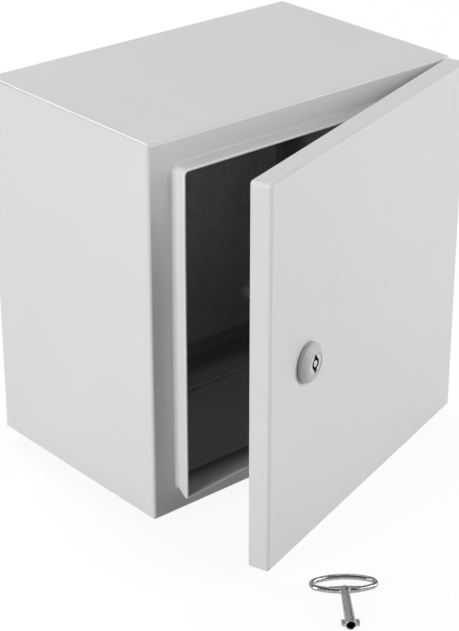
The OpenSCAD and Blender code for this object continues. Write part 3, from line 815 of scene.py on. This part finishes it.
dress("door_panel", 0.3 * MM, 3)
for node_name in ("mounting_plate", "gland_gasket", "door_seal", "lock_gasket"):
    dress(node_name)
WASHERS = ("plate_washers", "body_earth_washer", "door_earth_washer", "gland_washers", "hinge_washers")
for node_name in WASHERS:
    dress(node_name, 0.12 * MM)
for node_name in ("hinge_clips", "cam_washer", "lock_housing", "lock_core", "lock_cam"):
    dress(node_name, 0.2 * MM)
for node_name in ("hinge_block_upper", "hinge_block_lower", "hinge_bracket_upper", "hinge_bracket_lower"):
    dress(node_name, 0.3 * MM)

# ---------------------------------------------------------------- stage, lamps and camera

FLOOR_GREY = 0.6
FLOOR_WHITE = 0.92
FLOOR_HALF = 12.0

# Greys of the reflected room from the horizon up
ROOM = [(0.0, 1.0), (0.08, 0.85), (0.3, 0.3), (0.6, 0.12), (1.0, 0.1)]
AIM = Vector((0, -0.1, 0))


def link_white(tree, *targets):
    """Links to the targets a factor that is 1 for rays that should see the plain white background."""
    path = tree.nodes.new("ShaderNodeLightPath")
    factor = path.outputs["Is Camera Ray"]
    for name in ("Is Glossy Ray", "Is Transmission Ray"):
        either = tree.nodes.new("ShaderNodeMath")
        either.operation = "MAXIMUM"
        tree.links.new(factor, either.inputs[0])
        tree.links.new(path.outputs[name], either.inputs[1])
        factor = either.outputs[0]
    for target in targets:
        tree.links.new(factor, target)


def stage_floor(height):
    """Pale floor that the camera sees as white, with the object's shadow on it."""
    corners = [(x * FLOOR_HALF, y * FLOOR_HALF, height) for x, y in ((-1, -1), (1, -1), (1, 1), (-1, 1))]
    data = bpy.data.meshes.new("floor")
    data.from_pydata(corners, [], [(0, 1, 2, 3)])
    floor = bpy.data.objects.new("floor", data)
    bpy.context.scene.collection.objects.link(floor)
    material = bpy.data.materials.new("floor")
    material.use_nodes = True
    tree = material.node_tree
    tree.nodes.clear()
    output = tree.nodes.new("ShaderNodeOutputMaterial")
    diffuse = tree.nodes.new("ShaderNodeBsdfDiffuse")
    tone = tree.nodes.new("ShaderNodeMixRGB")
    tone.inputs["Color1"].default_value = (FLOOR_GREY, FLOOR_GREY, FLOOR_GREY, 1.0)
    tone.inputs["Color2"].default_value = (1.0, 1.0, 1.0, 1.0)
    share = tree.nodes.new("ShaderNodeMath")
    share.operation = "MULTIPLY"
    share.inputs[1].default_value = FLOOR_WHITE
    link_white(tree, tone.inputs["Fac"], share.inputs[0])
    tree.links.new(tone.outputs[0], diffuse.inputs["Color"])
    glow = tree.nodes.new("ShaderNodeEmission")
    mix = tree.nodes.new("ShaderNodeMixShader")
    tree.links.new(share.outputs[0], mix.inputs["Fac"])
    tree.links.new(diffuse.outputs[0], mix.inputs[1])
    tree.links.new(glow.outputs[0], mix.inputs[2])
    tree.links.new(mix.outputs[0], output.inputs["Surface"])
    data.materials.append(material)


def stage_world():
    """A world that lights nothing, seen as white by the camera and as a pale room in reflections."""
    world = bpy.data.worlds.new("studio")
    bpy.context.scene.world = world
    world.use_nodes = True
    tree = world.node_tree
    tree.nodes.clear()
    output = tree.nodes.new("ShaderNodeOutputWorld")
    dark = tree.nodes.new("ShaderNodeBackground")
    dark.inputs["Strength"].default_value = 0.0
    room = tree.nodes.new("ShaderNodeBackground")
    where = tree.nodes.new("ShaderNodeTexCoord")
    split = tree.nodes.new("ShaderNodeSeparateXYZ")
    tree.links.new(where.outputs["Generated"], split.inputs["Vector"])
    height = ramp(tree, split.outputs["Z"], ROOM)
    tree.links.new(height, room.inputs["Color"])
    white = tree.nodes.new("ShaderNodeBackground")
    white.inputs["Color"].default_value = (1.0, 1.0, 1.0, 1.0)
    path = tree.nodes.new("ShaderNodeLightPath")
    mirrored = tree.nodes.new("ShaderNodeMixShader")
    link_white(tree, mirrored.inputs["Fac"])
    tree.links.new(dark.outputs[0], mirrored.inputs[1])
    tree.links.new(room.outputs[0], mirrored.inputs[2])
    seen = tree.nodes.new("ShaderNodeMixShader")
    tree.links.new(path.outputs["Is Camera Ray"], seen.inputs["Fac"])
    tree.links.new(mirrored.outputs[0], seen.inputs[1])
    tree.links.new(white.outputs[0], seen.inputs[2])
    tree.links.new(seen.outputs[0], output.inputs["Surface"])


def stage_lamp(name, place, power, size):
    """Square area lamp that shines at the object."""
    data = bpy.data.lights.new(name, "AREA")
    data.shape = "SQUARE"
    data.size = size
    data.energy = power
    lamp = bpy.data.objects.new(name, data)
    bpy.context.scene.collection.objects.link(lamp)
    lamp.location = place
    lamp.rotation_mode = "QUATERNION"
    lamp.rotation_quaternion = (AIM - lamp.location).to_track_quat("-Z", "Y")


def stage_camera(target, azimuth, elevation, distance, focal):
    """Camera that looks at a target from an angle in degrees; azimuth 0 looks along +Y."""
    data = bpy.data.cameras.new("camera")
    data.sensor_width = 36.0
    data.lens = focal
    data.clip_start, data.clip_end = 0.05, 60.0
    camera = bpy.data.objects.new("camera", data)
    bpy.context.scene.collection.objects.link(camera)
    a, e = math.radians(azimuth), math.radians(elevation)
    back = Vector((math.sin(a) * math.cos(e), -math.cos(a) * math.cos(e), math.sin(e)))
    camera.location = target + back * distance
    camera.rotation_mode = "QUATERNION"
    camera.rotation_quaternion = (-back).to_track_quat("-Z", "Y")
    bpy.context.scene.camera = camera


stage_floor(cad_low.z)
stage_world()
stage_lamp("left", (-3.3, -0.1, 0.9), 89, 1.6)
stage_lamp("top", (0.3, 0.2, 3.3), 12, 1.2)
stage_lamp("back_top", (0.2, 2.2, 2.6), 65, 1.2)
stage_lamp("front_right", (2.6, -2.4, 0.9), 64, 1.6)
stage_lamp("front_high", (0.8, -2.6, 2.2), 40, 1.6)
target_place = Vector((-0.0757, -0.1915, -0.0023))
stage_camera(target_place, azimuth=-40.77, elevation=25.83, distance=1.4519, focal=111.99)
bpy.context.scene.view_settings.view_transform = "Standard"
